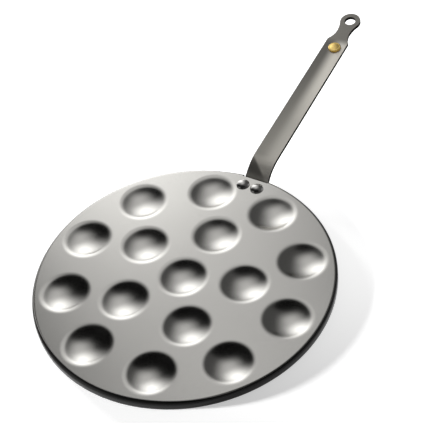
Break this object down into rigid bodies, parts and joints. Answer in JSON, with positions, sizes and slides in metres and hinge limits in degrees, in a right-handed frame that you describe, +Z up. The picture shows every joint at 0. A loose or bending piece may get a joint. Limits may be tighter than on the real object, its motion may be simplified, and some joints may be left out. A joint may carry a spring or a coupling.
{
  "type": "pancake pan",
  "caption": "Flat round steel pan with shallow round cups for small pancakes and a long riveted strip handle with a hanging eye.",
  "frame": {"origin": "middle of the centre cup's flat foot, on the surface that the pan stands on", "axes": "+X runs along the handle towards its hanging eye, +Z is up, +Y is to the left of someone who looks from the plate towards the handle"},
  "size_m": [0.4846, 0.27, 0.0451],
  "materials": {
    "plate_steel": "raw rolled carbon steel, satin grey",
    "handle_steel": "raw rolled strip steel, darker satin grey",
    "rivet_steel": "polished steel",
    "stud_brass": "polished brass, bare"
  },
  "bodies": {
    "root": {"pan_body": "plate_steel", "handle": "handle_steel", "rivet_left": "rivet_steel", "rivet_right": "rivet_steel", "brass_stud": "stud_brass"}
  },
  "joints": []
}
